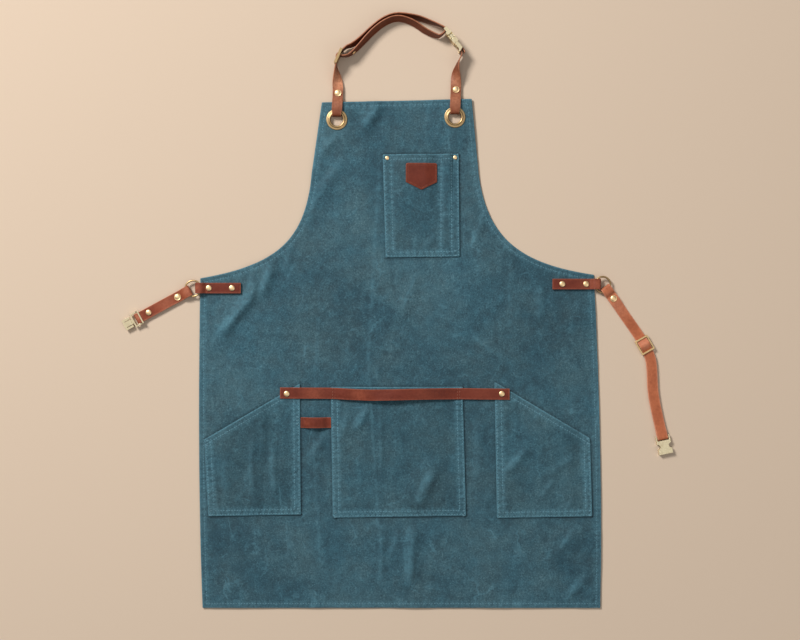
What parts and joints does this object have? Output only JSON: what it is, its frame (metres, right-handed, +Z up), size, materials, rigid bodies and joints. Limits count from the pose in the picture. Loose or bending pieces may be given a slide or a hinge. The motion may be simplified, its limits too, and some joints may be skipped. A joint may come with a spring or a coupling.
{
  "type": "work apron",
  "caption": "Bib apron in waxed canvas with patch pockets, a leather towel strip, leather neck and waist straps and metal fittings, laid flat with its front up.",
  "frame": {"origin": "middle of the bounding box's bottom face, on the surface that the apron lies on", "axes": "+Z up, out of the apron's front; +Y from the bottom hem towards the bib; +X towards the right of the picture"},
  "size_m": [0.9464, 1.0206, 0.0245],
  "materials": {
    "canvas": "grey-blue waxed cotton canvas, matte, lighter at seams and creases",
    "dark_leather": "dark red-brown smooth leather, burnished edges",
    "strap_leather": "orange-brown smooth leather",
    "antique_brass": "antique gold plating, half shiny",
    "pale_gold": "pale gold plating, shiny"
  },
  "bodies": {
    "root": {"body_panel": "canvas", "chest_pocket": "canvas", "hip_pocket_left": "canvas", "hip_pocket_right": "canvas", "center_pocket": "canvas", "towel_strip": "dark_leather", "tool_loop": "dark_leather", "badge": "dark_leather", "side_tab_left": "dark_leather", "side_tab_right": "dark_leather", "waist_strap_left": "strap_leather", "waist_strap_right": "strap_leather", "neck_strap_long": "strap_leather", "neck_strap_short": "strap_leather", "waist_buckle_male": "pale_gold", "waist_buckle_female": "pale_gold", "neck_buckle_male": "pale_gold", "neck_buckle_female": "pale_gold", "grommet_left": "antique_brass", "grommet_right": "antique_brass", "ring_left": "antique_brass", "ring_right": "antique_brass", "waist_slider": "antique_brass", "neck_slider": "antique_brass", "chest_rivet_left": "antique_brass", "chest_rivet_right": "antique_brass", "strip_rivet_left": "antique_brass", "strip_rivet_right": "antique_brass", "tab_rivet_left_outer": "antique_brass", "tab_rivet_left_inner": "antique_brass", "tab_rivet_right_outer": "antique_brass", "tab_rivet_right_inner": "antique_brass", "snap_neck_left": "antique_brass", "snap_neck_right": "antique_brass", "snap_waist_left": "antique_brass", "snap_waist_right": "antique_brass", "buckle_rivet": "antique_brass", "slider_rivet": "antique_brass"}
  },
  "joints": []
}
